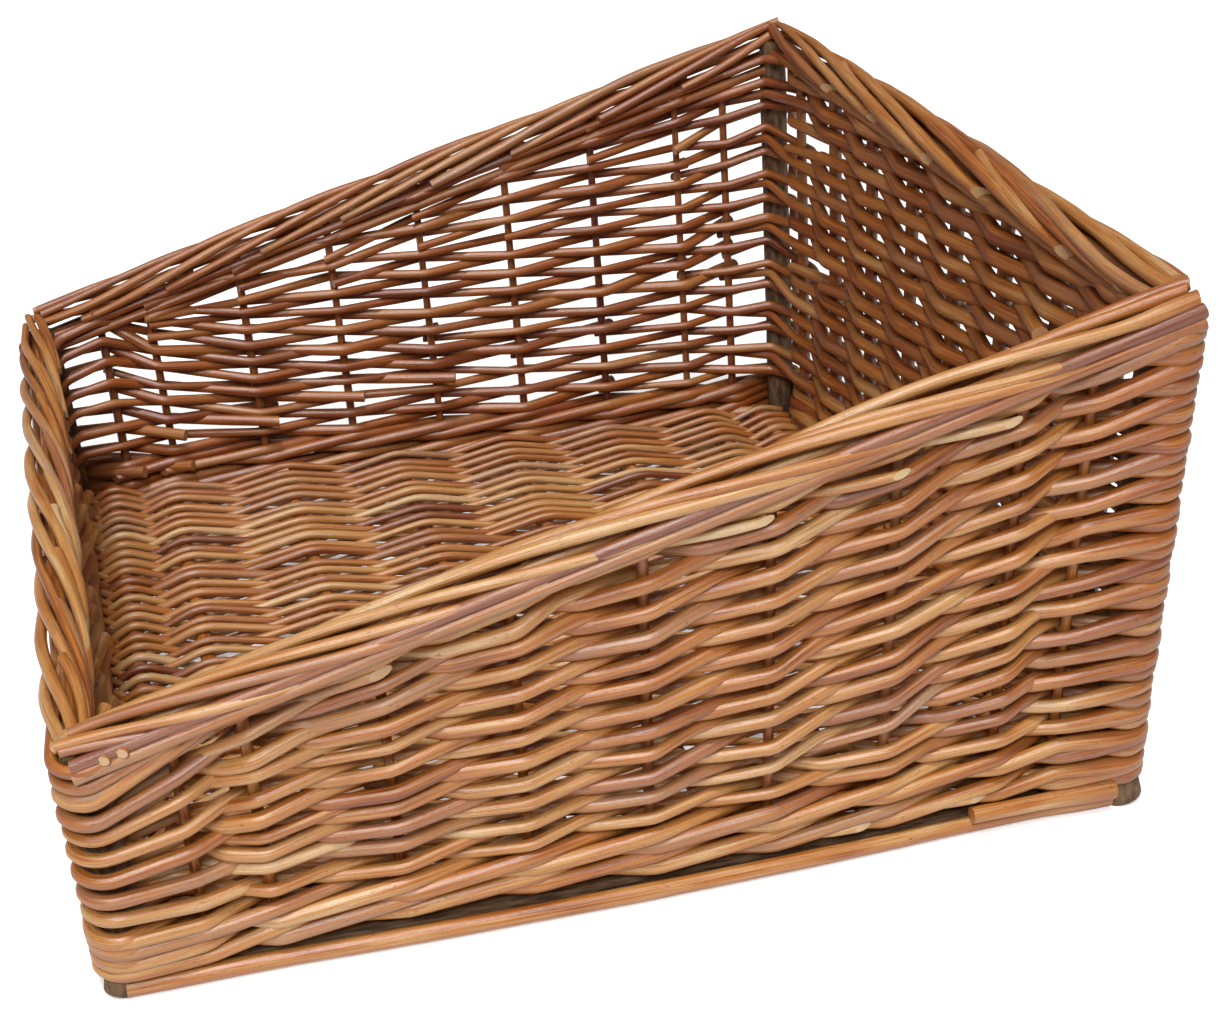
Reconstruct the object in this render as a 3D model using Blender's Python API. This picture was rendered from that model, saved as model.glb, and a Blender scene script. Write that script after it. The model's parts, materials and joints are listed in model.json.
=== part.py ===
"""Willow bread basket with one low end and one tall end.

Four thick corner posts stand on the floor. Thin stakes stand between them in
four walls, and one long willow rod per wall goes in front of one stake and
behind the next, round the last one, and back again a row higher. The base is
woven the same way over sticks that lie on the foot rods. On the two sloping
sides the last rows follow the slope, and a rod wound twice round the stakes
with one more on top closes them. A rope of two strands closes each end.

Metres, +Z up. X runs from the low end to the tall end, the floor is Z = 0,
and the origin is under the middle of the basket's outer size.
"""
import math

import bmesh
import bpy
from mathutils import Matrix, Vector

# Overall sizes, over the rods at the foot and at the top of the border
BASE_LENGTH = 0.450
BASE_WIDTH = 0.420
LOW_HEIGHT = 0.124
TALL_HEIGHT = 0.251

# How far each wall leans outwards for each unit of height
SIDE_LEAN_SHARE = 0.054
LOW_LEAN_SHARE = 0.055
TALL_LEAN_SHARE = -0.071

# Rods
POST_DIAMETER = 0.018
STAKE_DIAMETER = 0.005
WEAVER_DIAMETER = 0.0069
FOOT_ROD_DIAMETER = 0.0085
BORDER_ROD_DIAMETER = 0.0075
ROPE_STRAND_DIAMETER = 0.008
BASE_STICK_DIAMETER = 0.007
BASE_WEAVER_DIAMETER = 0.0070

# Gaps
CLEARANCE = 0.0003
ROW_GAP = 0.0004
BASE_ROW_GAP = 0.0010
FOOT_LIFT = 0.0005
STAKE_LIFT = 0.001
TURN_GAP = 0.0006

# Counts and spacing
SIDE_STAKES = 7
END_STAKES = 8
INNER_BASE_STICKS = 6
ROPE_STEPS_PER_TURN = 6
RING_STEPS_PER_END = 6
POST_SIDES = 16

# A rod goes round a stake or a post on a half hexagon
TURN_ANGLE = math.radians(30)
TURN_SHARE = math.cos(TURN_ANGLE)

ROUNDING = 1e-6
SETTLING_PASSES = 4

POST_RADIUS = POST_DIAMETER / 2
STAKE_RADIUS = STAKE_DIAMETER / 2
WEAVER_RADIUS = WEAVER_DIAMETER / 2
STICK_RADIUS = BASE_STICK_DIAMETER / 2
BORDER_RADIUS = BORDER_ROD_DIAMETER / 2
FOOT_RADIUS = FOOT_ROD_DIAMETER / 2
STRAND_RADIUS = ROPE_STRAND_DIAMETER / 2

# How far a weaver's middle line keeps from a stake's or a post's, and where it
# lies beside one that it turns round
STAKE_REACH = STAKE_RADIUS + CLEARANCE + WEAVER_RADIUS
POST_REACH = POST_RADIUS + CLEARANCE + WEAVER_RADIUS
STAKE_TURN = STAKE_REACH / TURN_SHARE
POST_TURN = POST_REACH / TURN_SHARE
ROW_PITCH = WEAVER_DIAMETER + ROW_GAP

# The posts stand inside the outer size by the rod that goes round them, and
# the middle plane of a wall lies further out than its posts
CORNER_REACH = POST_TURN + WEAVER_RADIUS
WALL_HALF = STAKE_REACH + WEAVER_RADIUS
WALL_SETBACK = CORNER_REACH - WALL_HALF

# The foot rods lie on the floor, the base sticks lie on them
FOOT_LEVEL = FOOT_LIFT + FOOT_RADIUS
FOOT_OFFSET = STAKE_RADIUS + CLEARANCE + FOOT_RADIUS
STICK_LEVEL = FOOT_LEVEL + FOOT_RADIUS + CLEARANCE + STICK_RADIUS
FIRST_ROW = STICK_LEVEL + STICK_RADIUS + CLEARANCE + WEAVER_RADIUS

# The sloping border: a rod wound round the stakes, with one in the groove on top
COIL_OFFSET = STAKE_RADIUS + CLEARANCE + BORDER_RADIUS
BORDER_SPACING = BORDER_ROD_DIAMETER + 2 * CLEARANCE

# The rope: two strands, each on a helix whose chords keep the strands apart
STRAND_ORBIT = (STRAND_RADIUS + CLEARANCE) / math.cos(math.pi / ROPE_STEPS_PER_TURN)
ROPE_RADIUS = STRAND_ORBIT + STRAND_RADIUS

# Base weavers
BASE_WEAVER_RADIUS = BASE_WEAVER_DIAMETER / 2
BASE_REACH = STICK_RADIUS + CLEARANCE + BASE_WEAVER_RADIUS
BASE_TURN = BASE_REACH / TURN_SHARE
BASE_ROW_PITCH = BASE_WEAVER_DIAMETER + BASE_ROW_GAP
BASE_STICK_PITCH = BASE_LENGTH / (INNER_BASE_STICKS + 1)

# The low end leans out past its foot, so the base lies off the middle in X
BASE_MIDDLE = LOW_LEAN_SHARE * LOW_HEIGHT / 2
LOW_EDGE = BASE_MIDDLE - BASE_LENGTH / 2 - LOW_LEAN_SHARE * LOW_HEIGHT
TALL_EDGE = BASE_MIDDLE + BASE_LENGTH / 2 + TALL_LEAN_SHARE * TALL_HEIGHT

# On the slope, rods lie nearer together than their heights differ
RIM_SLOPE = (TALL_HEIGHT - LOW_HEIGHT) / (TALL_EDGE - LOW_EDGE)
SLOPE_SHARE = math.cos(math.atan(RIM_SLOPE))
SLOPE_PITCH = ROW_PITCH / SLOPE_SHARE
COIL_PITCH = BORDER_SPACING / SLOPE_SHARE
COIL_TO_WEAVE = (BORDER_RADIUS + CLEARANCE + WEAVER_RADIUS) / SLOPE_SHARE
WEAVE_DROP = BORDER_RADIUS + BORDER_SPACING + COIL_PITCH + COIL_TO_WEAVE


def clear_scene():
    """Remove what the file holds, so that the script can be run again."""
    for old in list(bpy.data.objects):
        bpy.data.objects.remove(old, do_unlink=True)


def make_material(name, colour, roughness):
    """A plain willow colour."""
    material = bpy.data.materials.new(name)
    material.use_nodes = True
    shader = material.node_tree.nodes["Principled BSDF"]
    shader.inputs["Base Color"].default_value = (*colour, 1.0)
    shader.inputs["Roughness"].default_value = roughness
    shader.inputs["Metallic"].default_value = 0.0
    return material


def rim_height(x):
    """Top of the border, which rises from the low end to the tall end."""
    return LOW_HEIGHT + RIM_SLOPE * (x - LOW_EDGE)


def post_axis(end, side, z):
    """Middle of a corner post. end is -1 low or 1 tall, side -1 near or 1 far."""
    lean_share = LOW_LEAN_SHARE if end < 0 else TALL_LEAN_SHARE
    x = BASE_MIDDLE + end * (BASE_LENGTH / 2 - CORNER_REACH + lean_share * z)
    y = side * (BASE_WIDTH / 2 - CORNER_REACH + SIDE_LEAN_SHARE * z)
    return Vector((x, y, z))


class Wall:
    """One wall: its two posts, the direction out of the basket, and its stakes."""

    def __init__(self, name, first, last, outward, stake_count, turns_on_posts):
        self.name = name
        self.first = first
        self.last = last
        self.outward = Vector(outward)
        span = (post_axis(*last, 0.0) - post_axis(*first, 0.0)).length
        if turns_on_posts:
            self.stake_shares = [(i + 1) / (stake_count + 1) for i in range(stake_count)]
            self.turn_shares = [0.0] + self.stake_shares + [1.0]
        else:
            margin = CORNER_REACH + TURN_GAP + STAKE_REACH + WEAVER_RADIUS
            edge_share = margin / span
            step_share = (1 - 2 * edge_share) / (stake_count - 1)
            self.stake_shares = [edge_share + i * step_share for i in range(stake_count)]
            self.turn_shares = self.stake_shares
        self.turns_on_posts = turns_on_posts
        last_index = len(self.turn_shares) - 1
        self.uprights = []
        for index, share in enumerate(self.turn_shares):
            on_post = turns_on_posts and index in (0, last_index)
            middle, reach = (-WALL_SETBACK, POST_REACH) if on_post else (0.0, STAKE_REACH)
            self.uprights.append((share * span, middle, reach))
        self.offsets = {side: settle(self.uprights, side) for side in (-1, 1)}

    def point(self, share, out, z, slip=0.0):
        """A place in the wall: share from post to post, out of the middle plane,
        height, and a slip along the wall."""
        start = post_axis(*self.first, z)
        end = post_axis(*self.last, z)
        along = (end - start).normalized()
        place = start.lerp(end, share) + along * slip
        return place + self.outward * (WALL_SETBACK + out)


def settle(uprights, first_side):
    """How far a rod passes from the middle of each upright, first_side of the
    first one and then on changing sides, so that its slanting runs stay clear.
    An upright is its place along the row, its middle line and the least reach."""
    offsets = [reach for place, middle, reach in uprights]
    for _ in range(SETTLING_PASSES):
        for index, (place, middle, reach) in enumerate(uprights):
            side = first_side if index % 2 == 0 else -first_side
            steepest = 0.0
            for other in (index - 1, index + 1):
                if 0 <= other < len(uprights):
                    rise = middle - uprights[other][1] + side * (offsets[index] + offsets[other])
                    steepest = max(steepest, abs(rise / (place - uprights[other][0])))
            offsets[index] = reach * math.hypot(1.0, steepest)
    return offsets


def link(obj, collection, material):
    """Put an object in the basket's collection with its material."""
    collection.objects.link(obj)
    obj.data.materials.append(material)
    return obj


def rod(name, points, diameter, collection, material, resolution=1, closed=False):
    """A round rod along points, with filled ends, or a closed ring."""
    curve = bpy.data.curves.new(name, "CURVE")
    curve.dimensions = "3D"
    curve.bevel_depth = diameter / 2
    curve.bevel_resolution = resolution
    curve.use_fill_caps = not closed
    spline = curve.splines.new("POLY")
    spline.points.add(len(points) - 1)
    for target, place in zip(spline.points, points):
        target.co = (*place, 1.0)
    spline.use_cyclic_u = closed
    spline.use_smooth = True
    return link(bpy.data.objects.new(name, curve), collection, material)


def corner_post(name, end, side, collection, material):
    """A thick upright, flat on the floor and cut along the slope of the border."""
    mesh = bpy.data.meshes.new(name)
    shape = bmesh.new()
    bmesh.ops.create_cone(shape, cap_ends=True, segments=POST_SIDES, radius1=POST_RADIUS,
                          radius2=POST_RADIUS, depth=TALL_HEIGHT,
                          matrix=Matrix.Translation((0.0, 0.0, TALL_HEIGHT / 2)))
    for corner in shape.verts:
        if corner.co.z > TALL_HEIGHT / 2:
            top = cut_height(end, side, corner.co)
            corner.co = post_axis(end, side, top) + Vector((corner.co.x, corner.co.y, 0.0))
        else:
            corner.co += post_axis(end, side, 0.0)
    shape.to_mesh(mesh)
    shape.free()
    mesh.shade_smooth()
    mesh.set_sharp_from_angle(angle=math.radians(40))
    return link(bpy.data.objects.new(name, mesh), collection, material)


def cut_height(end, side, corner):
    """Height of the post's sloping cut at one corner of its outline."""
    drop = BORDER_ROD_DIAMETER + CLEARANCE
    middle = post_axis(end, side, rim_height(post_axis(end, side, 0.0).x))
    return rim_height(middle.x + corner.x) - drop


def rope_level(wall):
    """Middle height of the rope on an end wall."""
    edge = wall.point(0.5, 0.0, LOW_HEIGHT if wall.first[0] < 0 else TALL_HEIGHT)
    return rim_height(edge.x) - ROPE_RADIUS


def coil_drop(out):
    """How far the border's coil lies under the rim, where it is this far out of
    the wall's middle plane. It goes under the top rod at its two ends."""
    return BORDER_RADIUS + math.sqrt(BORDER_SPACING ** 2 - out ** 2)


def side_level(wall, share):
    """Height of the topmost row of a sloping wall."""
    x = wall.point(share, 0.0, LOW_HEIGHT + share * (TALL_HEIGHT - LOW_HEIGHT)).x
    return rim_height(x) - WEAVE_DROP


def end_stakes(wall, collection, material):
    """Stakes of an end wall, up to the underside of the rope."""
    top = rope_level(wall) - ROPE_RADIUS - CLEARANCE
    for number, share in enumerate(wall.stake_shares, start=1):
        points = [wall.point(share, 0.0, STAKE_LIFT), wall.point(share, 0.0, top)]
        rod(f"stake_{wall.name}_{number}", points, STAKE_DIAMETER, collection, material)


def side_stakes(wall, collection, material):
    """Stakes of a sloping wall, up to the rod on top of the border."""
    for number, share in enumerate(wall.stake_shares, start=1):
        middle = wall.point(share, 0.0, (LOW_HEIGHT + TALL_HEIGHT) / 2)
        top = rim_height(middle.x) - BORDER_ROD_DIAMETER - 2 * CLEARANCE - RIM_SLOPE * STAKE_RADIUS
        points = [wall.point(share, 0.0, STAKE_LIFT), wall.point(share, 0.0, top)]
        rod(f"stake_{wall.name}_{number}", points, STAKE_DIAMETER, collection, material)


def row_count(highest):
    """Rows of weave whose middle lines fit below a height."""
    return int((highest - FIRST_ROW) / ROW_PITCH + ROUNDING) + 1


def level_row(row, low, high):
    """A level row between two uprights, as its height at each one it passes."""
    return {index: FIRST_ROW + row * ROW_PITCH for index in range(low, high + 1)}


def rope_limit(wall):
    """Highest middle line of a weaver under the rope of an end wall."""
    return rope_level(wall) - ROPE_RADIUS - CLEARANCE - WEAVER_RADIUS


def side_rows(wall, low_rope, tall_rope):
    """Rows of a sloping wall, each as its height at each upright it passes.

    The lower rows run from post to post. Above the low end the rows go in
    pairs, out from the tall post to a stake under the slope and back. The last
    two rows follow the slope from post to post."""
    last = len(wall.turn_shares) - 1
    tops = [side_level(wall, share) for share in wall.turn_shares]
    tops[0] = min(tops[0], rope_limit(low_rope))
    tops[last] = min(tops[last], rope_limit(tall_rope))
    rows = []
    for index, top in enumerate(tops[:-1]):
        room = row_count(top - 2 * SLOPE_PITCH) - len(rows)
        added = room if index == 0 else room // 2 * 2
        for _ in range(added):
            rows.append(level_row(len(rows), index, last))
    for drop in (SLOPE_PITCH, 0.0):
        rows.append({index: top - drop for index, top in enumerate(tops)})
    return rows


def end_rows(wall):
    """Rows of an end wall, all of the same length."""
    last = len(wall.turn_shares) - 1
    return [level_row(row, 0, last) for row in range(row_count(rope_limit(wall)))]


def crossing(wall, index, row, z, turning):
    """Where a row passes an upright, outside it on one row and inside on the next."""
    place, middle, reach = wall.uprights[index]
    side = 1 if (index + row) % 2 == 0 else -1
    first_side = 1 if row % 2 == 0 else -1
    offset = wall.offsets[first_side][index]
    if turning:
        offset = max(offset, reach / TURN_SHARE)
    return wall.point(wall.turn_shares[index], middle + side * offset, z)


def turn(wall, index, row, z, next_z, heading):
    """The two points that carry a row round its last upright to the row above."""
    place, middle, reach = wall.uprights[index]
    side = 1 if (index + row) % 2 == 0 else -1
    points = []
    for step, quarter in ((1, side), (2, -side)):
        out = middle + quarter * reach * math.tan(TURN_ANGLE)
        level = z + (next_z - z) * step / 3
        points.append(wall.point(wall.turn_shares[index], out, level, heading * reach))
    return points


def wall_weave(wall, rows, collection, material):
    """One rod, to and fro along the wall and in and out of its uprights. The
    last long row before the short ones ends at the tall post."""
    long_rows = next((n for n, heights in enumerate(rows) if 0 not in heights), len(rows))
    forward = long_rows % 2 == 1
    points = []
    for row, heights in enumerate(rows):
        order = sorted(heights, reverse=not forward)
        final = order[-1]
        for index in order:
            turning = index in (order[0], final)
            points.append(crossing(wall, index, row, heights[index], turning))
        if row < len(rows) - 1:
            heading = 1 if forward else -1
            points += turn(wall, final, row, heights[final], rows[row + 1][final], heading)
        forward = not forward
    rod(f"weave_{wall.name}", points, WEAVER_DIAMETER, collection, material, resolution=0)


def bend_reach(offset, rod_radius):
    """How far from a post's axis, along a wall, a rod starts to bend round the
    end of the wall's stakes, so that it touches the post."""
    contact = POST_RADIUS + CLEARANCE + rod_radius + offset
    return math.sqrt(contact ** 2 - WALL_SETBACK ** 2)


def end_bend(wall, share, offset, rod_radius, height_at):
    """A rod's half circle round one end of the row of stakes, beside the post."""
    heading = 1 if share > 0.5 else -1
    reach = bend_reach(offset, rod_radius)
    points = []
    for step in range(RING_STEPS_PER_END + 1):
        part = step / RING_STEPS_PER_END
        out = -heading * offset * math.cos(math.pi * part)
        slip = heading * (offset * math.sin(math.pi * part) - reach)
        points.append(wall.point(share, out, height_at(share, slip, out, part), slip))
    return points


def foot_ring(wall, collection, material):
    """The foot rods of one wall, which lie on the floor inside and outside the stakes."""
    points = []
    for share in (0.0, 1.0):
        points += end_bend(wall, share, FOOT_OFFSET, FOOT_RADIUS, lambda *place: FOOT_LEVEL)
    rod(f"foot_{wall.name}", points, FOOT_ROD_DIAMETER, collection, material, closed=True)


def side_border(wall, collection, material):
    """The sloping border: a rod twice round the stake tops and one rod above it."""
    def level(share, slip, out, drop):
        height = LOW_HEIGHT + share * (TALL_HEIGHT - LOW_HEIGHT)
        return rim_height(wall.point(share, 0.0, height, slip).x) - coil_drop(out) - drop

    def lower(share, slip, out, part):
        return level(share, slip, out, COIL_PITCH)

    def rising(share, slip, out, part):
        return level(share, slip, out, COIL_PITCH * (1 - part))

    def upper(share, slip, out, part):
        return level(share, slip, out, 0.0)

    slip = -bend_reach(COIL_OFFSET, BORDER_RADIUS) - COIL_OFFSET
    start_level = level(1.0, slip, COIL_OFFSET, COIL_PITCH)
    end_level = level(1.0, slip, COIL_OFFSET, 0.0)
    points = [wall.point(1.0, COIL_OFFSET, start_level, slip)]
    for share, height_at in ((0.0, lower), (1.0, rising), (0.0, upper)):
        points += end_bend(wall, share, COIL_OFFSET, BORDER_RADIUS, height_at)
    points.append(wall.point(1.0, -COIL_OFFSET, end_level, slip))
    rod(f"border_coil_{wall.name}", points, BORDER_ROD_DIAMETER, collection, material)
    side = wall.outward.y
    ends = []
    for x, height in ((LOW_EDGE, LOW_HEIGHT), (TALL_EDGE, TALL_HEIGHT)):
        y = side * (BASE_WIDTH / 2 - WALL_HALF + SIDE_LEAN_SHARE * height)
        ends.append(Vector((x, y, height - BORDER_RADIUS)))
    rod(f"border_top_{wall.name}", ends, BORDER_ROD_DIAMETER, collection, material)


def end_rope(wall, collection, material):
    """The rope border of an end wall: a strand touches every second stake top."""
    level = rope_level(wall)
    start = wall.point(0.0, 0.0, level, POST_RADIUS + STRAND_RADIUS)
    end = wall.point(1.0, 0.0, level, -POST_RADIUS - STRAND_RADIUS)
    first_stake = wall.point(wall.stake_shares[0], 0.0, level)
    along = (end - start).normalized()
    steps_per_stake = ROPE_STEPS_PER_TURN // 2
    step = (wall.point(wall.stake_shares[1], 0.0, level) - first_stake).length / steps_per_stake
    before = int((first_stake - start).length / step + ROUNDING)
    after = int((end - first_stake).length / step + ROUNDING)
    for strand in (1, 2):
        points = []
        for index in range(-before, after + 1):
            angle = math.pi * (index / steps_per_stake + strand)
            around = wall.outward * math.sin(angle) + Vector((0.0, 0.0, math.cos(angle)))
            points.append(first_stake + along * step * index + around * STRAND_ORBIT)
        name = f"border_{wall.name}_strand_{strand}"
        rod(name, points, ROPE_STRAND_DIAMETER, collection, material)


def stick_places():
    """X of each base stick: the inner ones evenly, one more by each end wall."""
    inner_reach = BASE_LENGTH / 2 - WALL_HALF - STAKE_TURN - WEAVER_RADIUS - CLEARANCE
    end_place = inner_reach - BASE_REACH - BASE_WEAVER_RADIUS
    first = -BASE_STICK_PITCH * (INNER_BASE_STICKS - 1) / 2
    inner = [first + BASE_STICK_PITCH * i for i in range(INNER_BASE_STICKS)]
    return [BASE_MIDDLE + place for place in [-end_place] + inner + [end_place]]


def base_sticks(near, collection, material):
    """Sticks across the base, from the stakes of one side to those of the other."""
    reach = abs(near.point(0.5, -STAKE_RADIUS - CLEARANCE, STICK_LEVEL - STICK_RADIUS).y)
    for number, x in enumerate(stick_places(), start=1):
        points = [Vector((x, -reach, STICK_LEVEL)), Vector((x, reach, STICK_LEVEL))]
        rod(f"base_stick_{number}", points, BASE_STICK_DIAMETER, collection, material)


def base_turns(rows, last, half_rows):
    """Stick that each row turns round before the row above. Beside the corner
    posts, where the wall rods come further in, the rows turn one stick earlier."""
    corner_face = BASE_WIDTH / 2 - 2 * CORNER_REACH
    turns = []
    for row in range(-1, rows):
        outermost = max(abs(row - half_rows), abs(row + 1 - half_rows)) * BASE_ROW_PITCH
        inset = 1 if outermost + BASE_WEAVER_RADIUS + CLEARANCE > corner_face else 0
        turns.append(last - inset if row % 2 == 0 else inset)
    return turns


def base_weave(collection, material):
    """One rod, to and fro along the base and over and under its sticks."""
    places = stick_places()
    wall_face = BASE_WIDTH / 2 - 2 * WALL_HALF
    half_rows = int((wall_face - CLEARANCE - BASE_WEAVER_RADIUS) / BASE_ROW_PITCH + ROUNDING)
    rows = 2 * half_rows + 1
    turns = base_turns(rows, len(places) - 1, half_rows)
    sticks = [(place, 0.0, BASE_REACH) for place in places]
    offsets = settle(sticks, 1)
    points = []
    for row in range(rows):
        y = (row - half_rows) * BASE_ROW_PITCH
        first, final = turns[row], turns[row + 1]
        heading = 1 if final > first else -1
        for index in range(first, final + heading, heading):
            above = 1 if (index + row) % 2 == 0 else -1
            offset = max(BASE_TURN, offsets[index]) if index in (first, final) else offsets[index]
            points.append(Vector((places[index], y, STICK_LEVEL + above * offset)))
        if row == rows - 1:
            break
        for step, quarter in ((1, above), (2, -above)):
            x = places[final] + heading * BASE_REACH
            z = STICK_LEVEL + quarter * BASE_REACH * math.tan(TURN_ANGLE)
            points.append(Vector((x, y + BASE_ROW_PITCH * step / 3, z)))
    rod("base_weave", points, BASE_WEAVER_DIAMETER, collection, material, resolution=0)


def build_basket():
    """Make every piece of the basket."""
    clear_scene()
    collection = bpy.data.collections.new("willow_bread_basket")
    bpy.context.scene.collection.children.link(collection)
    bark = make_material("post_bark", (0.16, 0.10, 0.055), 0.8)
    stake_willow = make_material("stake_willow", (0.33, 0.15, 0.055), 0.5)
    weaver_willow = make_material("weaver_willow", (0.52, 0.27, 0.10), 0.4)
    base_willow = make_material("base_willow", (0.45, 0.21, 0.085), 0.45)
    border_willow = make_material("border_willow", (0.55, 0.26, 0.09), 0.4)

    near = Wall("near", (-1, -1), (1, -1), (0.0, -1.0, 0.0), SIDE_STAKES, True)
    far = Wall("far", (-1, 1), (1, 1), (0.0, 1.0, 0.0), SIDE_STAKES, True)
    low = Wall("low", (-1, -1), (-1, 1), (-1.0, 0.0, 0.0), END_STAKES, False)
    tall = Wall("tall", (1, -1), (1, 1), (1.0, 0.0, 0.0), END_STAKES, False)

    for end, end_name in ((-1, "low"), (1, "tall")):
        for side, side_name in ((-1, "near"), (1, "far")):
            corner_post(f"post_{end_name}_{side_name}", end, side, collection, bark)
    for wall in (near, far):
        foot_ring(wall, collection, border_willow)
        side_stakes(wall, collection, stake_willow)
        wall_weave(wall, side_rows(wall, low, tall), collection, weaver_willow)
        side_border(wall, collection, border_willow)
    for wall in (low, tall):
        foot_ring(wall, collection, border_willow)
        end_stakes(wall, collection, stake_willow)
        wall_weave(wall, end_rows(wall), collection, weaver_willow)
        end_rope(wall, collection, border_willow)
    base_sticks(near, collection, stake_willow)
    base_weave(collection, base_willow)


build_basket()
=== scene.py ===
# %% [markdown]
# # A sloping willow bread basket
#
# This lesson dresses a woven basket whose construction is already fixed. The
# frame gives the real sizes: four corner posts, the stakes between them, and
# one plain rod for each wall's weave. Here every willow rod is made by itself,
# because a basket is nothing but rods. What makes it look real is how they
# cross, where they end, and how no two have quite the same colour.

# %% Frame and libraries
import json
import math
import random

import bmesh
import bpy
import numpy as np
from mathutils import Matrix, Vector


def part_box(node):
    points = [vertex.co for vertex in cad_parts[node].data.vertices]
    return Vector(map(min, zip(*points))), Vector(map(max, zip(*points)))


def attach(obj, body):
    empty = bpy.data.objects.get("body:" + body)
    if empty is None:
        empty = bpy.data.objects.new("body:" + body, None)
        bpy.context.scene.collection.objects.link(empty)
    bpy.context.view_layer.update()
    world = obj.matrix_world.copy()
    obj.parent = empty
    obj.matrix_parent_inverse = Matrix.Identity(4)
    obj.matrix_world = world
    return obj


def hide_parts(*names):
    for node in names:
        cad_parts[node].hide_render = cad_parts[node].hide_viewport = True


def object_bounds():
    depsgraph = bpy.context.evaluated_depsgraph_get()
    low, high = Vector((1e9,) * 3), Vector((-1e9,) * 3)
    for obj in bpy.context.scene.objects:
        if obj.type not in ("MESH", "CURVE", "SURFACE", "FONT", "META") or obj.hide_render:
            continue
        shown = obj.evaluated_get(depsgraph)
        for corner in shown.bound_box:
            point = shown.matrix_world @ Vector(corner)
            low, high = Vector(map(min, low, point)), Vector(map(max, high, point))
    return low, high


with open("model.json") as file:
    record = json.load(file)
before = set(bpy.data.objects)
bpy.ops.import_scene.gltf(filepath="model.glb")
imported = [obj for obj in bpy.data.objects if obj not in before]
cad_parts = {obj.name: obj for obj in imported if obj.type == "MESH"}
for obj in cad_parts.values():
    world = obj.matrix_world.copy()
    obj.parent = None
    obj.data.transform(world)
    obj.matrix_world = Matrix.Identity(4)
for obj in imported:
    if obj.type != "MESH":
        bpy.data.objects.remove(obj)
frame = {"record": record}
cad_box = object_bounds()
rng = random.Random(41)
print("CAD box:", [[round(c, 4) for c in corner] for corner in cad_box])

# %% [markdown]
# ## Where the uprights stand
#
# A weaver sets out the posts and stakes first, and everything else follows
# them. The posts stand on the record's four rest points. Each wall leans a
# little: the sides and the low end outwards, the tall end inwards.

# %% Posts, lean and rim
LOW_LEAN = -0.055
TALL_LEAN = -0.048
SIDE_LEAN = 0.054
POST_RADIUS = 0.0080
POST_SHIFT = 0.0055
WALL_SETBACK = 0.0085
STAKE_RADIUS = 0.0024
rests = {mount["name"]: mount["pos_m"] for mount in frame["record"]["mounts"]}
post_feet = {(end, side): np.array(rests[f"rest_{end}_{side}"])
             for end in ("low", "tall") for side in ("near", "far")}
rim_low = Vector(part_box("border_top_near")[0])
rim_tall = Vector(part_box("border_top_near")[1])
LOW_RIM = 0.124
TALL_RIM = cad_box[1][2]
HALF_UP = LOW_RIM + 0.06
rim_slope = (TALL_RIM - LOW_RIM) / (rim_tall.x - rim_low.x)


def rim_height(x):
    """Top of the border over a place along the basket."""
    return min(TALL_RIM, max(LOW_RIM, LOW_RIM + rim_slope * (x - rim_low.x)))


def post_axis(end, side, z):
    """Corner of the stakes' frame at a height, just inside the middle of a post."""
    lean_x = LOW_LEAN if end == "low" else TALL_LEAN
    lean_y = -SIDE_LEAN if side == "near" else SIDE_LEAN
    return post_feet[end, side] + np.array((lean_x * z, lean_y * z, z))


def away_from_middle(end, side):
    """The way out from the basket at a corner, one unit along and one across."""
    return np.array((-1.0 if end == "low" else 1.0, -1.0 if side == "near" else 1.0, 0.0))


def post_middle(end, side, z):
    """Middle of the post itself at a height."""
    return post_axis(end, side, z) + away_from_middle(end, side) * POST_SHIFT


print("rim rises", round(rim_slope, 3), "for each unit of length")

# %% [markdown]
# ## The four walls as a road
#
# A rod doesn't stop at a corner: it bends round the post and goes on along the
# next wall. So the walls are kept in the order in which a rod meets them, and
# each holds its uprights. A half-spaced stake stands beside each post of the
# two sloping sides and closes the corner.

# %% Walls
EXTRA_SHARE = 0.060


class Wall:
    """A wall from one post to the next, with its uprights as shares of the way."""

    def __init__(self, name, first, last, outward, stakes):
        self.name, self.first, self.last = name, first, last
        self.outward = np.array(outward, dtype=float)
        self.stakes = stakes
        self.shares = []
        for number in range(1, stakes + 1):
            low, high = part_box(f"stake_{name}_{number}")
            middle = (np.array(low) + np.array(high)) / 2
            start, end = post_axis(*first, middle[2]), post_axis(*last, middle[2])
            way = end - start
            self.shares.append(float(np.dot(middle - start, way) / np.dot(way, way)))
        self.shares.sort()
        self.sloping = name in ("near", "far")
        if self.sloping:
            self.shares = [EXTRA_SHARE] + self.shares + [1 - EXTRA_SHARE]

    def place(self, share, out, z):
        """A point of the wall: share of the way, out of its middle plane, height."""
        start, end = post_axis(*self.first, z), post_axis(*self.last, z)
        return start + (end - start) * share + self.outward * (WALL_SETBACK + out)


near = Wall("near", ("low", "near"), ("tall", "near"), (0, -1, 0), 7)
tall = Wall("tall", ("tall", "near"), ("tall", "far"), (1, 0, 0), 8)
far = Wall("far", ("tall", "far"), ("low", "far"), (0, 1, 0), 7)
low = Wall("low", ("low", "far"), ("low", "near"), (-1, 0, 0), 8)
walls = [near, tall, far, low]
print("uprights:", {wall.name: len(wall.shares) for wall in walls})

# %% [markdown]
# ## One rod
#
# A rod could be a Blender curve with a bevel. A mesh is better here, because
# each rod carries its own grain: how far along it a point lies, and where
# round it. So a cone primitive is cut into rings once for each ring count, and
# copies of that tube are laid along the paths. The last ring at each end is
# doubled and drawn in a little, like the edge of a knife cut.

# %% Tube template
ROD_SIDES = 10
templates = {}


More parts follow.
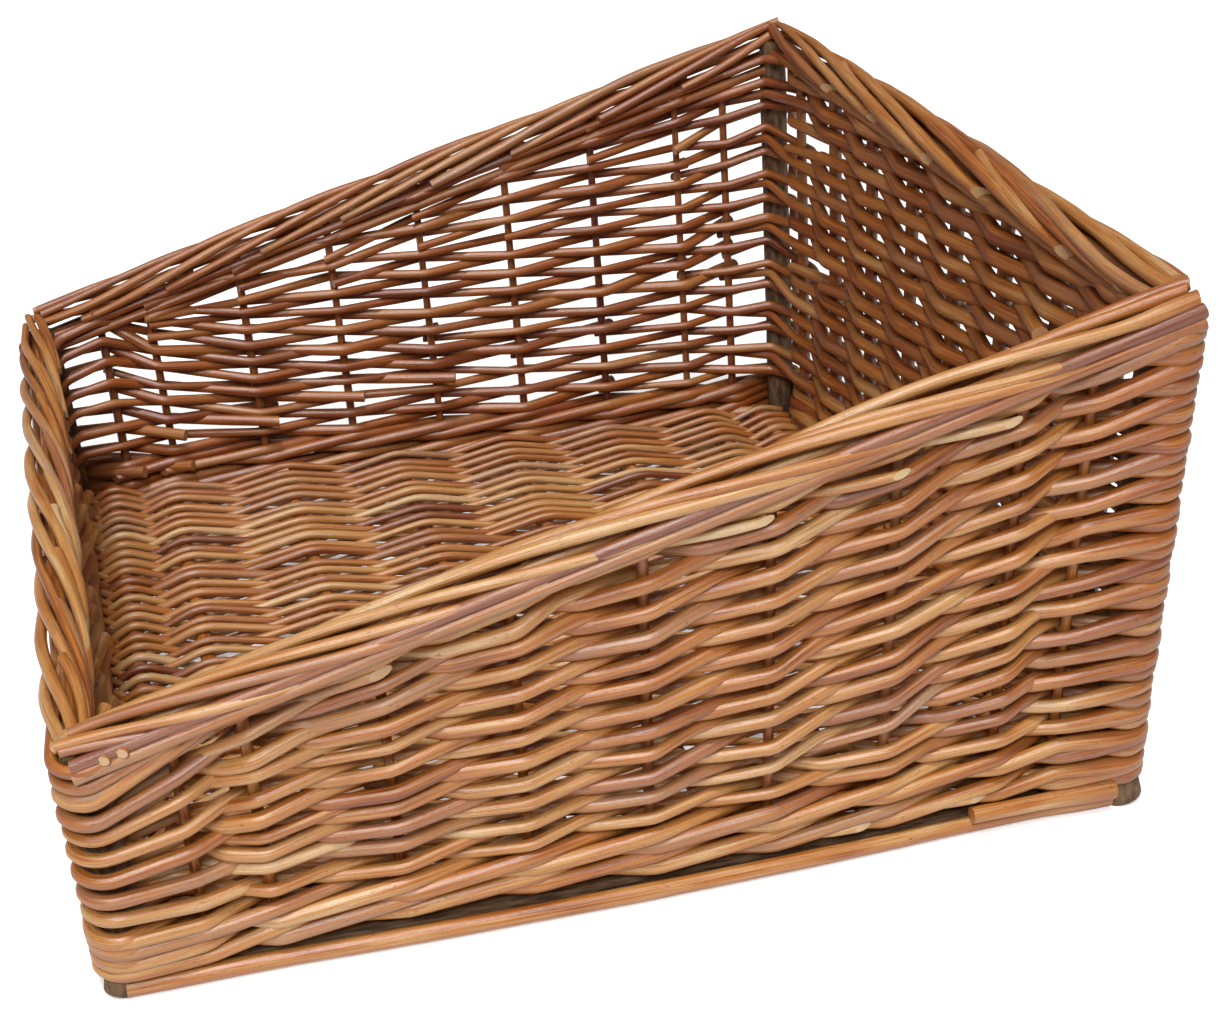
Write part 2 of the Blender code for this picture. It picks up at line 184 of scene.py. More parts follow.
def tube_template(rings, sides):
    """A straight tube of so many rings, with each vertex's ring and angle."""
    if (rings, sides) in templates:
        return templates[rings, sides]
    shape = bmesh.new()
    bmesh.ops.create_cone(shape, cap_ends=True, segments=sides, radius1=1.0, radius2=1.0,
                          depth=rings - 1.0)
    long_edges = [e for e in shape.edges if abs(e.verts[0].co.z - e.verts[1].co.z) > 0.5]
    bmesh.ops.subdivide_edges(shape, edges=long_edges, cuts=rings - 2, use_grid_fill=True)
    mesh = bpy.data.meshes.new(f"tube_{rings}_{sides}")
    shape.to_mesh(mesh)
    shape.free()
    places = np.empty(len(mesh.vertices) * 3)
    mesh.vertices.foreach_get("co", places)
    places = places.reshape(-1, 3)
    ring = np.rint(places[:, 2] + (rings - 1) / 2).astype(int)
    templates[rings, sides] = (mesh, ring, places[:, 0].copy(), places[:, 1].copy())
    return templates[rings, sides]


# %% [markdown]
# ## A stiff path
#
# Willow is springy. Between two stakes a rod stays nearly straight, and it
# bends in a short stretch where a stake pushes it aside. A smooth spline would
# look like string. So the path is a chain of straight runs whose corners are
# averaged over a short width, and the rings stand closer where it bends.

# %% Paths
FINE_STEP = 0.001
BEND_WIDTH = 0.007
STRAIGHT_STEP = 0.0085
TURN_STEP = 0.23


def bent_path(points, bend, spacing):
    """Places for the rings of a rod that is straight between points and bends at them."""
    p = np.array(points, dtype=float)
    run = np.concatenate(([0.0], np.cumsum(np.linalg.norm(np.diff(p, axis=0), axis=1))))
    fine_run = np.linspace(0, run[-1], max(6, int(run[-1] / FINE_STEP)))
    fine = np.stack([np.interp(fine_run, run, p[:, i]) for i in range(3)], axis=1)
    width = max(1, int(bend / FINE_STEP / 2))
    before = fine[0] + (fine[0] - fine[1]) * np.arange(width, 0, -1)[:, None]
    after = fine[-1] + (fine[-1] - fine[-2]) * np.arange(1, width + 1)[:, None]
    padded = np.vstack((before, fine, after))
    kernel = np.ones(2 * width + 1) / (2 * width + 1)
    fine = np.stack([np.convolve(padded[:, i], kernel, "valid") for i in range(3)], axis=1)
    steps = np.diff(fine, axis=0)
    lengths = np.linalg.norm(steps, axis=1)
    heading = steps / lengths[:, None]
    turning = np.concatenate(([0.0], np.linalg.norm(np.diff(heading, axis=0), axis=1)))
    cost = np.concatenate(([0.0], np.cumsum(lengths / spacing + turning / TURN_STEP)))
    wanted = np.linspace(0, cost[-1], max(3, int(cost[-1]) + 2))
    return np.stack([np.interp(wanted, cost, fine[:, i]) for i in range(3)], axis=1)


# %% [markdown]
# ## From rods to a piece
#
# A whole wall is one object, so its rods share a mesh. Each rod brings a path,
# a thickness at its butt and at its tip, and a tone. The tone and the grain
# are stored as attributes of the vertices, and the material reads them there.
# A pattern kept on the mesh can't slide when the object moves. The tall end is
# woven with thicker rods. The far and tall walls take less light inside the
# basket, so they get painted shade, a darker and redder brown. So thickness and
# painted shade follow the place of each ring in the basket.

# %% Rod piece
CUT_DRAW = 0.86
LUMP_WAVES = (71, 163)
FAR_START, FAR_FADE = 0.15, 0.03
TALL_START, TALL_FADE = 0.18, 0.02
TALL_GIRTH = 0.33
FAR_GIRTH = -0.01
# How much painted shade the far and tall walls take: a darker, redder brown for the light they lack.
FAR_PAINTED_SHADE = 0.85
TALL_PAINTED_SHADE = 0.50


def rod(points, butt, tip, tone=0.5, spread=0.13, slant=(0.0, 0.0), up=(0, 0, 1), lump=0.042,
        bend=BEND_WIDTH, spacing=STRAIGHT_STEP, cuts=(0.45, 0.45)):
    """A rod along points: thicknesses at its two ends, tone, slant and paleness of its cuts."""
    path = bent_path(points, bend, spacing)
    own_tone = min(1.0, max(0.0, rng.gauss(tone, spread)))
    return {"path": path, "butt": butt, "tip": tip, "tone": own_tone, "mauve": rng.random(),
            "slant": slant, "up": np.array(up, dtype=float), "lump": lump, "phase": rng.random() * 9,
            "cuts": cuts}


def rod_vertices(item, sides):
    """Places and attributes of one rod's vertices, in its template's order."""
    path = np.vstack((item["path"][:1], item["path"], item["path"][-1:]))
    rings = len(path)
    mesh, ring, cosines, sines = tube_template(rings, sides)
    heading = np.gradient(item["path"], axis=0)
    heading = np.vstack((heading[:1], heading, heading[-1:]))
    heading /= np.linalg.norm(heading, axis=1)[:, None]
    across = np.cross(item["up"], heading)
    across /= np.linalg.norm(across, axis=1)[:, None]
    upward = np.cross(heading, across)
    run = np.concatenate(([0.0], np.cumsum(np.linalg.norm(np.diff(path, axis=0), axis=1))))
    share = run / run[-1]
    radius = (item["butt"] * (1 - share) + item["tip"] * share) / 2
    phase = item["phase"]
    lumps = np.sin(run * LUMP_WAVES[0] + phase) + 0.6 * np.sin(run * LUMP_WAVES[1] + 2 * phase)
    radius *= 1 + item["lump"] * lumps
    cut = np.zeros(rings)
    cut[[0, -1]] = item["cuts"]
    on_far = np.clip((path[:, 1] - FAR_START) / FAR_FADE, 0, 1)
    on_tall = np.clip((path[:, 0] - TALL_START) / TALL_FADE, 0, 1) * (1 - on_far)
    radius *= 1 + TALL_GIRTH * on_tall + FAR_GIRTH * on_far
    # Painted shade: rings on the far and tall walls get a darker, redder brown in the material.
    shade = (FAR_PAINTED_SHADE * on_far + TALL_PAINTED_SHADE * on_tall)[ring]
    radius[[0, -1]] *= CUT_DRAW
    slope = np.zeros(rings)
    slope[[0, 1]] = item["slant"][0]
    slope[[-2, -1]] = item["slant"][1]
    r = radius[ring]
    places = (path[ring] + across[ring] * (cosines * r)[:, None] + upward[ring] * (sines * r)[:, None]
              + heading[ring] * (slope[ring] * cosines * r)[:, None])
    grain = np.stack((cosines, sines, run[ring]), axis=1)
    willow = np.stack((np.full(len(ring), item["tone"]), np.full(len(ring), item["mauve"]), cut[ring]),
                      axis=1)
    return mesh, places, grain, willow, shade


def rod_piece(name, rods, material, replaced=(), sides=ROD_SIDES):
    """One object of many rods, riding on the basket."""
    shape = bmesh.new()
    parts = [rod_vertices(item, sides) for item in rods]
    for part in parts:
        shape.from_mesh(part[0])
    mesh = bpy.data.meshes.new(name)
    shape.to_mesh(mesh)
    shape.free()
    places, grain, willow = (np.vstack([part[i] for part in parts]) for i in (1, 2, 3))
    mesh.vertices.foreach_set("co", places.ravel())
    for title, values in (("grain", grain), ("willow", willow)):
        layer = mesh.attributes.new(name=title, type="FLOAT_VECTOR", domain="POINT")
        layer.data.foreach_set("vector", values.ravel())
    layer = mesh.attributes.new(name="shade", type="FLOAT", domain="POINT")
    layer.data.foreach_set("value", np.concatenate([part[4] for part in parts]))
    mesh.update()
    mesh.shade_smooth()
    mesh.set_sharp_from_angle(angle=math.radians(50))
    piece = bpy.data.objects.new(name, mesh)
    bpy.context.scene.collection.objects.link(piece)
    mesh.materials.append(material)
    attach(piece, "root")
    if replaced:
        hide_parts(*replaced)
    mesh.calc_loop_triangles()
    print(f"{name}: {len(rods)} rods, {len(mesh.loop_triangles)} triangles")


# %% [markdown]
# ## Buff willow
#
# Willow that is boiled before it is peeled takes a tan from its own bark. The
# rods come out straw, honey or red-brown, some with a mauve tint, and each
# has long streaks, small dark buds and scratches. The ramp reads the rod's
# tone, shifted by slow noise along it, so that one rod changes from butt to
# tip. Towards the far and tall sides a darker, redder brown is multiplied over
# it as painted shade. The skin is smooth and a little waxy, so the roughness is low.

# %% Node helpers
def new_material(name):
    """A material with an empty Principled shader, its tree and the shader."""
    material = bpy.data.materials.new(name)
    material.use_nodes = True
    return material, material.node_tree, material.node_tree.nodes["Principled BSDF"]


def add(tree, kind, links=None, **settings):
    """A node with its settings, and each input linked to a socket or set to a value."""
    node = tree.nodes.new(kind)
    for key, value in settings.items():
        setattr(node, key, value)
    for key, value in (links or {}).items():
        if isinstance(value, bpy.types.NodeSocket):
            tree.links.new(value, node.inputs[key])
        else:
            node.inputs[key].default_value = value
    return node


def scaled(tree, vector, scale):
    """A vector stretched by another."""
    return add(tree, "ShaderNodeVectorMath", {0: vector, 1: scale}, operation="MULTIPLY").outputs[0]


def maths(tree, operation, *values):
    """A maths node's result."""
    return add(tree, "ShaderNodeMath", dict(enumerate(values)), operation=operation).outputs[0]


def ramp(tree, factor, stops):
    """A colour ramp's colour."""
    node = add(tree, "ShaderNodeValToRGB", {"Fac": factor})
    while len(node.color_ramp.elements) < len(stops):
        node.color_ramp.elements.new(0.5)
    for element, (place, colour) in zip(node.color_ramp.elements, stops):
        element.position = place
        element.color = (*colour, 1.0)
    return node.outputs["Color"]


def mixed(tree, factor, first, second, mode="MIX"):
    """Two colours mixed."""
    node = add(tree, "ShaderNodeMix", data_type="RGBA", blend_type=mode)
    for key, value in ((0, factor), (6, first), (7, second)):
        if isinstance(value, bpy.types.NodeSocket):
            tree.links.new(value, node.inputs[key])
        else:
            node.inputs[key].default_value = value if key == 0 else (*value, 1.0)
    return node.outputs[2]


# %% Willow material
RED_BROWN = (0.165, 0.033, 0.003)
HONEY = (0.370, 0.118, 0.013)
TAN = (0.455, 0.222, 0.062)
STRAW = (0.590, 0.415, 0.220)
MAUVE = (0.230, 0.092, 0.060)
SPECK = (0.045, 0.018, 0.008)
SCRATCH = (0.130, 0.042, 0.014)
PITH = (0.600, 0.430, 0.225)
# Painted shade: a darker, redder brown multiplied over the far and tall walls.
PAINTED_SHADE_BROWN = (0.72, 0.50, 0.34)
MAUVE_FROM = 0.86
MOST_MAUVE = 0.52


def willow_material(name, shift=0.0):
    """Peeled willow. A shift of the tone makes it deeper or paler."""
    material, tree, shader = new_material(name)
    grain = add(tree, "ShaderNodeAttribute", attribute_name="grain").outputs["Vector"]
    willow = add(tree, "ShaderNodeAttribute", attribute_name="willow").outputs["Vector"]
    parts = add(tree, "ShaderNodeSeparateXYZ", {0: willow}).outputs
    offset = scaled(tree, willow, (40.0, 60.0, 0.0))
    seeded = add(tree, "ShaderNodeVectorMath", {0: grain, 1: offset}, operation="ADD").outputs[0]

    def noise(stretch, detail):
        """Noise stretched along the rod."""
        return add(tree, "ShaderNodeTexNoise", {"Vector": scaled(tree, seeded, stretch), "Scale": 1.0,
                                                "Detail": detail}).outputs["Fac"]

    slow = noise((0.35, 0.35, 14.0), 2.0)
    patch = noise((1.3, 1.3, 38.0), 2.0)
    streak = noise((4.5, 4.5, 26.0), 5.0)
    fine = noise((5.0, 5.0, 420.0), 3.0)
    scratch = noise((11.0, 11.0, 95.0), 2.0)
    tone = maths(tree, "ADD", parts[0], maths(tree, "MULTIPLY_ADD", slow, 0.9, -0.45 + shift))
    tone = maths(tree, "ADD", tone, maths(tree, "MULTIPLY_ADD", streak, 1.00, -0.50))
    tone = maths(tree, "ADD", tone, maths(tree, "MULTIPLY_ADD", patch, 0.60, -0.30))
    colour = ramp(tree, tone, ((0.05, RED_BROWN), (0.36, HONEY), (0.64, TAN), (1.0, STRAW)))
    tint = maths(tree, "MULTIPLY", maths(tree, "GREATER_THAN", parts[1], MAUVE_FROM),
                 maths(tree, "MULTIPLY_ADD", patch, 2.6, -0.9))
    tint_node = add(tree, "ShaderNodeClamp", {"Value": tint, "Max": MOST_MAUVE})
    colour = mixed(tree, tint_node.outputs[0], colour, MAUVE)
    lines = ramp(tree, scratch, ((0.63, (0, 0, 0)), (0.72, (1, 1, 1))))
    colour = mixed(tree, maths(tree, "MULTIPLY", lines, 0.55), colour, SCRATCH)
    specks = ramp(tree, fine, ((0.64, (0, 0, 0)), (0.71, (1, 1, 1))))
    colour = mixed(tree, maths(tree, "MULTIPLY", specks, 0.70), colour, SPECK)
    colour = mixed(tree, parts[2], colour, PITH)
    # Painted shade: the shade attribute multiplies a darker, redder brown over the far and tall walls.
    shade = add(tree, "ShaderNodeAttribute", attribute_name="shade").outputs["Fac"]
    colour = mixed(tree, shade, colour, PAINTED_SHADE_BROWN, "MULTIPLY")
    tree.links.new(colour, shader.inputs["Base Color"])
    rough = maths(tree, "MULTIPLY_ADD", streak, 0.36, 0.24)
    tree.links.new(rough, shader.inputs["Roughness"])
    shader.inputs["Specular IOR Level"].default_value = 1.0
    height = maths(tree, "ADD", maths(tree, "MULTIPLY", fine, 0.6), streak)
    bump = add(tree, "ShaderNodeBump", {"Strength": 0.38, "Distance": 0.0006, "Height": height})
    tree.links.new(bump.outputs[0], shader.inputs["Normal"])
    return material


wall_willow = willow_material("wall_willow")
base_willow = willow_material("base_willow", -0.04)
border_willow = willow_material("border_willow", 0.02)
stake_willow = willow_material("stake_willow", -0.12)
print("willow materials made")

# %% [markdown]
# ## Camera
#
# The viewpoint was worked out from the basket's eight outer corners. It stands
# off the low near corner and looks down at 28 degrees.

# %% Camera
EYE = Vector((-0.1951, -0.7949, 0.5109))
AZIMUTH = math.radians(-16.81)
ELEVATION = math.radians(28.13)
FOCAL_PIXELS = 1894.0
IMAGE_WIDTH = 1222
back = Vector((math.sin(AZIMUTH) * math.cos(ELEVATION), -math.cos(AZIMUTH) * math.cos(ELEVATION),
               math.sin(ELEVATION)))
camera_data = bpy.data.cameras.new("camera")
camera_data.sensor_width = 36.0
camera_data.sensor_fit = "HORIZONTAL"
camera_data.lens = FOCAL_PIXELS / IMAGE_WIDTH * camera_data.sensor_width
camera = bpy.data.objects.new("camera", camera_data)
camera.matrix_world = Matrix.Translation(EYE) @ back.to_track_quat("Z", "Y").to_matrix().to_4x4()
bpy.context.scene.collection.objects.link(camera)
bpy.context.scene.camera = camera
print("camera lens:", round(camera_data.lens, 1), "mm")

# %% [markdown]
# ## Light, room and floor
#
# A soft sun stands high up, and a square lamp fills the near side, as a window
# would. The world adds a little warm light from all round. Light Path tells a
# camera ray from the rays that carry light, so the room looks white and the
# floor glows a little for the camera alone. The background is then white, the
# shadow stays, and the willow gets no light from either.

# %% Lamps
def lamp(kind, name, place, target, energy, **settings):
    """A lamp that shines from a place to a target."""
    data = bpy.data.lights.new(name, kind)
    data.energy = energy
    for key, value in settings.items():
        setattr(data, key, value)
    light = bpy.data.objects.new(name, data)
    aim = Vector(place) - Vector(target)
    light.matrix_world = Matrix.Translation(place) @ aim.to_track_quat("Z", "Y").to_matrix().to_4x4()
    bpy.context.scene.collection.objects.link(light)


SUN_SOFTNESS = math.radians(12)
lamp("SUN", "top", (-0.15, -0.45, 2.0), (0, 0, 0), 1.80, angle=SUN_SOFTNESS)
lamp("AREA", "front", (-0.52, -1.30, 1.50), (0, -0.1, 0.1), 24.0, size=0.65)
bpy.context.scene.view_settings.view_transform = "Standard"
print("lamps:", [item.name for item in bpy.data.lights])

# %% Room
WARM_LIGHT = (1.0, 0.78, 0.56, 1)
WARM_STRENGTH = 0.30
WHITE = (1, 1, 1, 1)
world = bpy.data.worlds.new("studio")
world.use_nodes = True
bpy.context.scene.world = world
room_tree = world.node_tree
warm = room_tree.nodes["Background"]
warm.inputs["Color"].default_value = WARM_LIGHT
warm.inputs["Strength"].default_value = WARM_STRENGTH
white = add(room_tree, "ShaderNodeBackground", {"Color": WHITE})
from_camera = add(room_tree, "ShaderNodeLightPath").outputs["Is Camera Ray"]
by_ray = add(room_tree, "ShaderNodeMixShader", {0: from_camera, 1: warm.outputs[0], 2: white.outputs[0]})
room_tree.links.new(by_ray.outputs[0], room_tree.nodes["World Output"].inputs["Surface"])
print("room light:", WARM_STRENGTH)

# %% Floor
FLOOR_COLOUR = (0.87, 0.89, 0.93, 1)
FLOOR_GLOW = 0.32
floor_mesh = bpy.data.meshes.new("floor")
floor_shape = bmesh.new()
bmesh.ops.create_grid(floor_shape, x_segments=1, y_segments=1, size=4.0)
floor_shape.to_mesh(floor_mesh)
floor_shape.free()
floor = bpy.data.objects.new("floor", floor_mesh)
bpy.context.scene.collection.objects.link(floor)
floor_material, floor_tree, floor_shader = new_material("floor_white")
floor_shader.inputs["Base Color"].default_value = FLOOR_COLOUR
floor_shader.inputs["Roughness"].default_value = 0.9
seen = add(floor_tree, "ShaderNodeLightPath").outputs["Is Camera Ray"]
floor_shader.inputs["Emission Color"].default_value = WHITE
glow = maths(floor_tree, "MULTIPLY", seen, FLOOR_GLOW)
floor_tree.links.new(glow, floor_shader.inputs["Emission Strength"])
floor_mesh.materials.append(floor_material)
print("floor glow for the camera:", FLOOR_GLOW)

# %% [markdown]
# ## Over and under
#
# The weave is plain randing: in front of one stake, behind the next. A course
# is a list of stops along the road round the basket. Two kinds of course
# follow each other. The first kind goes round the outside of both near posts.
# The second goes inside the low near post and, at the tall near post, dives in
# as soon as it is round. At the far posts the first kind passes inside. The
# second goes outside the low far post, and every other time outside the tall
# far post, so those posts show between the rods.

# %% Sides of the stops
PASSES = {"near": ([1, -1, 1, -1, 1, -1, 1, -1, 1], [-1, 1, -1, 1, -1, 1, -1, 1, -1]),
          "tall": ([-1, 1, -1, 1, -1, 1, -1, 1], [1, -1, 1, -1, 1, -1, 1, -1]),
          "far": ([-1, 1, -1, 1, -1, 1, -1, 1, -1], [1, -1, 1, -1, 1, -1, 1, -1, 1]),
          "low": ([1, -1, 1, -1, 1, -1, 1, -1], [-1, 1, -1, 1, -1, 1, -1, 1])}
ROUND_POST = {("tall", "near"): (1, 1, 1, 1), ("tall", "far"): (-1, 1, -1, -1),
              ("low", "far"): (-1, 1, -1, 1), ("low", "near"): (1, -1, 1, -1)}


def stops(row, first, last):
    """The stops of a course from one upright to another: wall, upright and side."""
    road = []
    for number in range(first[0], last[0] + 1):
        wall = walls[number % 4]
        begin = first[1] if number == first[0] else 0
        end = last[1] if number == last[0] else len(wall.shares) - 1
        for index in range(begin, end + 1):
            road.append((wall, index, PASSES[wall.name][row % 2][index]))
        if number < last[0]:
            road.append((wall, None, ROUND_POST[wall.last][row % 4]))
    return road


# %% [markdown]
# ## Round a post
#
# Outside, a rod hugs the post on an arc. Inside, it cuts straight across
# behind it. The averaging of the path draws an arc in by about half a
# millimetre, so the arc starts that much wider. The two rods of a pair pass a
# stake on opposite sides and swap before the next. On the near side both have
# the same height at a stake, and the one on its way in crosses above. On the
# other walls one of them stays above the other.

# %% Corner and course
WEAVER = 0.0058
CORNER_STEPS = 4
ARC_ALLOWANCE = 0.0008
BEND_ALLOWANCE = 0.0006
INSIDE_REACH = 0.0106
CROSSING = 0.0026
CROSSING_SPREAD = 0.007
CROSSING_WOBBLE = 0.0004
FULL_SPAN = 0.10
WOBBLE = 0.0009
SMALL_WOBBLE = 0.0003


def corner_points(wall, side, z, radius):
    """Points past the post at a wall's end, round its outside or behind it."""
    following = walls[(walls.index(wall) + 1) % 4]
    middle = post_middle(*wall.last, z)
    if side < 0:
        inward = -(wall.outward + following.outward) / math.sqrt(2)
        return [middle + inward * INSIDE_REACH]
    reach = POST_RADIUS + radius + ARC_ALLOWANCE
    points = []
    for step in range(CORNER_STEPS + 1):
        turn = math.pi / 2 * step / CORNER_STEPS
        points.append(middle + reach * (math.cos(turn) * wall.outward + math.sin(turn) * following.outward))
    return points


def course_points(road, level, radius, above=0.0):
    """Points for a rod through its stops and the crossings between them."""
    points = []
    before = None
    for wall, index, side in road:
        z = level(wall, index) + rng.gauss(0, WOBBLE)
        if wall is not near or index is None:
            z += above
        if index is None:
            points += corner_points(wall, side, z, radius)
            before = None
            continue
        if before is not None and wall is near:
            share = (wall.shares[before[0]] + wall.shares[index]) / 2 + rng.gauss(0, CROSSING_SPREAD)
            span = wall.shares[index] - wall.shares[before[0]]
            rise = (CROSSING if side < 0 else -CROSSING) * min(1.0, span / FULL_SPAN) ** 2
            rise += rng.gauss(0, CROSSING_WOBBLE)
            points.append(wall.place(share, rng.gauss(0, SMALL_WOBBLE), (before[1] + z) / 2 + rise))
        before = (index, z)
        out = side * (STAKE_RADIUS + radius + BEND_ALLOWANCE) + rng.gauss(0, SMALL_WOBBLE)
        points.append(wall.place(wall.shares[index], out, z))
    return points


def lengthened(points, first, last):
    """Points with a short end added at each end, along the last run."""
    start = points[0] + (points[0] - points[1]) / np.linalg.norm(points[0] - points[1]) * first
    finish = points[-1] + (points[-1] - points[-2]) / np.linalg.norm(points[-1] - points[-2]) * last
    return [start] + points + [finish]


# %% [markdown]
# ## Rods end where they run out
#
# A willow rod is about a metre long, so a course is made of several. Each has
# a thick butt and a thin tip. A rod ends at a stake, and the next begins
# beside it. The near and low walls have these joints inside, and the tall and
# far walls outside, where they show least. A few slender tips end outside the
# near wall, with a pale slanted cut. Cutting the courses at chance places
# gives the small cut ends that a woven wall shows here and there.

# %% Cut a course into rods
FEWEST_STOPS = 14
MOST_STOPS = 30
LAST_STOPS = 4
JOINT_SHIFT = 0.0019
TIP_CHANCE = 0.10
TIP_THICKNESS = 0.62
TIP_OUT = 0.0030
TIP_UP = 0.0026


def rods_of_course(road, level, above, tone=0.5):
    """The rods of one course. Each takes over where the last one ends."""
    rods = []
    start = 0
    while start < len(road) - 1:
        end = min(len(road) - 1, start + rng.randint(FEWEST_STOPS, MOST_STOPS))
        tip_out = road[end][0] is near and rng.random() < TIP_CHANCE
        wanted = 1 if tip_out or road[end][0] in (tall, far) else -1
        while end < len(road) - 1 and (road[end][1] is None or road[end][2] != wanted):
            end += 1
        if len(road) - 1 - end < LAST_STOPS:
            end = len(road) - 1
        tip_out = tip_out and road[end][0] is near and end < len(road) - 1
        butt = WEAVER * rng.uniform(1.00, 1.24)
        tip = WEAVER * rng.uniform(0.70, 0.92)
        points = course_points(road[start:end + 1], level, WEAVER / 2, above)
        if len(points) > 1:
            if tip_out:
                tip = WEAVER * TIP_THICKNESS
                points[-1] = points[-1] + road[end][0].outward * TIP_OUT + np.array((0, 0, TIP_UP))
            else:
                points[-1] = points[-1] - np.array((0, 0, JOINT_SHIFT))
            push = road[start][2] * (0.0010 if road[start][0] is low else 0.0032)
            points[0] = points[0] + np.array((0, 0, JOINT_SHIFT)) + road[start][0].outward * push
            butt_length = rng.uniform(0.005, 0.011)
            tip_length = 0.008 if tip_out else rng.uniform(0.0, 0.004)
            points = lengthened(points, butt_length, tip_length)
            slant = (rng.uniform(-0.4, 0.2), rng.uniform(1.6, 2.1) if tip_out else rng.uniform(-0.1, 0.6))
            rods.append(rod(points, butt, tip, tone=tone, slant=slant, cuts=(0.45, 1.0 if tip_out else 0.45)))
        start = end - 1 if tip_out else end
    return rods


# %% [markdown]
# ## Filling the slope
#
# The rim rises along the basket, and the courses open out under it like a fan.
# The courses go in pairs, counted from the bottom of the tall end. Seven pairs
# reach the low end. The others start at one stake after another, wherever the
# wall has grown high enough for two more rods, and at every stake the pairs
# share the height evenly. ON_NEAR and ON_FAR list the pairs in the order in
# which they join. On the near side the new pairs join low down as well, so all
# rods there climb with the rim. On the far side they join near the rim, and
# the rods below stay level. Short pairs, with numbers between their
# neighbours', fill two places on the far side and two on the tall end. Round
# the tall near post the lowest rods climb a little, as over a thick bundle.

# %% Heights of the courses
FIRST_ROW = 0.0325
ROW_PITCH = 0.0061
LOW_PACKING = 0.80
TALL_PACKING = 1.08
ABOVE = (0.0031, -0.0029)
BORDER_DEPTH = 0.0160
ON_NEAR = (0, 3, 5, 7, 8, 11, 14, 9, 6, 4, 10, 12, 13, 1, 2)
ON_FAR = (0, 1, 2, 3, 4, 5, 6, 10, 7, 13, 8, 11, 9, 14, 12)
SHORT_ON_FAR = ((0.5, 7), (1.5, 5))
SHORT_ON_TALL = (6.5, 11.5)
LOW_PAIRS = 7
ALL_PAIRS = len(ON_NEAR)
LAST_ON_FAR = len(far.shares) - 1
LAST_ON_TALL = len(tall.shares) - 1
CORNER_RISE = 0.0095
CLIMB_FROM = 0.6
CLIMB_UNTIL = 0.7


def rim_over(wall, share):
    """Height of the rim's top over a place of a wall."""
    if wall is tall:
        return TALL_RIM
    if wall is low:
        return LOW_RIM
    return rim_height(wall.place(share, 0, HALF_UP)[0])


def share_of(wall, index):
    """Share of the way of an upright, or of the post at the wall's end."""
    return 1.0 if index is None else wall.shares[index]


def corner_rise(wall, share):
    """How far the low rods climb round the tall near post."""
    way = {"near": (share - CLIMB_FROM) / (1 - CLIMB_FROM), "tall": 1 - share / CLIMB_UNTIL}
    way = min(1.0, max(0.0, way.get(wall.name, 0.0)))
    return CORNER_RISE * way * way * (3 - 2 * way)


def room(wall, index):
    """Top of the woven height at an upright, and how many pairs of courses it holds."""
    share = share_of(wall, index)
    top = rim_over(wall, share) - BORDER_DEPTH
    if wall is tall and index is not None:
        return top, ALL_PAIRS + len(SHORT_ON_TALL)
    if wall in (near, tall) and index is None:
        return top, ALL_PAIRS
    if wall is far and index in (LAST_ON_FAR, None) or wall is near and index == 0:
        return top, LOW_PAIRS
    way = {"near": share, "far": 1 - share, "low": 0.0}[wall.name]
    pair_height = 2 * ROW_PITCH * (LOW_PACKING + (TALL_PACKING - LOW_PACKING) * way)
    pairs = round((top - FIRST_ROW) / pair_height + 0.25)
    return top, max(LOW_PAIRS, min(ALL_PAIRS, pairs))


def present(wall, index):
    """The pairs at an upright, from the bottom up."""
    count = room(wall, index)[1]
    if wall is tall and index is not None:
        return sorted([*ON_NEAR, *SHORT_ON_TALL])
    if wall is not far or index is None:
        return sorted(ON_NEAR[:count])
    short = [pair for pair, first in SHORT_ON_FAR if index >= first]
    return sorted([*ON_FAR[:count - len(short)], *short])


def level_of(pair, low_place):
    """The height rule of a pair. Round the low end it has a place of its own."""
    def plain(wall, index):
        top, pairs = room(wall, index)
        here = present(wall, index)
        if low_place is not None and (wall is low or wall is far and index is None):
            place = low_place + 0.5
        else:
            place = sum(1 for other in here if other < pair) + (0.5 if pair in here else 0.0)
        rise = corner_rise(wall, share_of(wall, index)) * (1 - place / pairs)
        return FIRST_ROW + (top - FIRST_ROW) * place / pairs + rise

    def level(wall, index):
        if not wall.sloping or index is None or not 0 < index < len(wall.shares) - 1:
            return plain(wall, index)
        s0, s1, s2 = wall.shares[index - 1:index + 2]
        way = (s1 - s0) / (s2 - s0)
        beside = plain(wall, index - 1) * (1 - way) + plain(wall, index + 1) * way
        return 0.5 * plain(wall, index) + 0.5 * beside
    return level


def first_upright(wall, pair):
    """The first upright of a sloping wall, from its low end, where a pair is present."""
    order = range(len(wall.shares)) if wall is near else range(len(wall.shares) - 1, -1, -1)
    return next((index for index in order if pair in present(wall, index)), None)


def inside_stop(wall, index, row, step):
    """The upright itself, or its neighbour, where the course passes inside."""
    if PASSES[wall.name][row % 2][index] > 0:
        index = index + step if 0 <= index + step < len(wall.shares) else index - step
    return index


print("pairs at the low end:", LOW_PAIRS, "and at the tall end:", ALL_PAIRS)

# %% [markdown]
# ## Weaving the walls
#
# A pair that reaches the low end starts on the near side, and its other half
# comes from the low end to meet it there. Every other pair starts where it
# joins the near side, runs round the tall end and stops where the far side has
# no room left for it. The rods from the low end make one piece, and the rods
# that pass the tall end make the other.

# %% Weave the walls
UPPER_TONE = 0.47
low_joins = [rng.randint(1, 6) for place in range(LOW_PAIRS)]
at_low_end = present(far, LAST_ON_FAR)
weave = {"lower": [], "upper": []}


def far_finish(pair, row):
    """Place at the low end and last stop of a pair that reaches the far wall."""
    if pair in at_low_end:
        place = at_low_end.index(pair)
        return place, (3, inside_stop(low, low_joins[place], row, 1))
    if first_upright(far, pair) is not None:
        return None, (2, inside_stop(far, first_upright(far, pair), row, 1))
    return None, (1, inside_stop(tall, LAST_ON_TALL, row, -1))


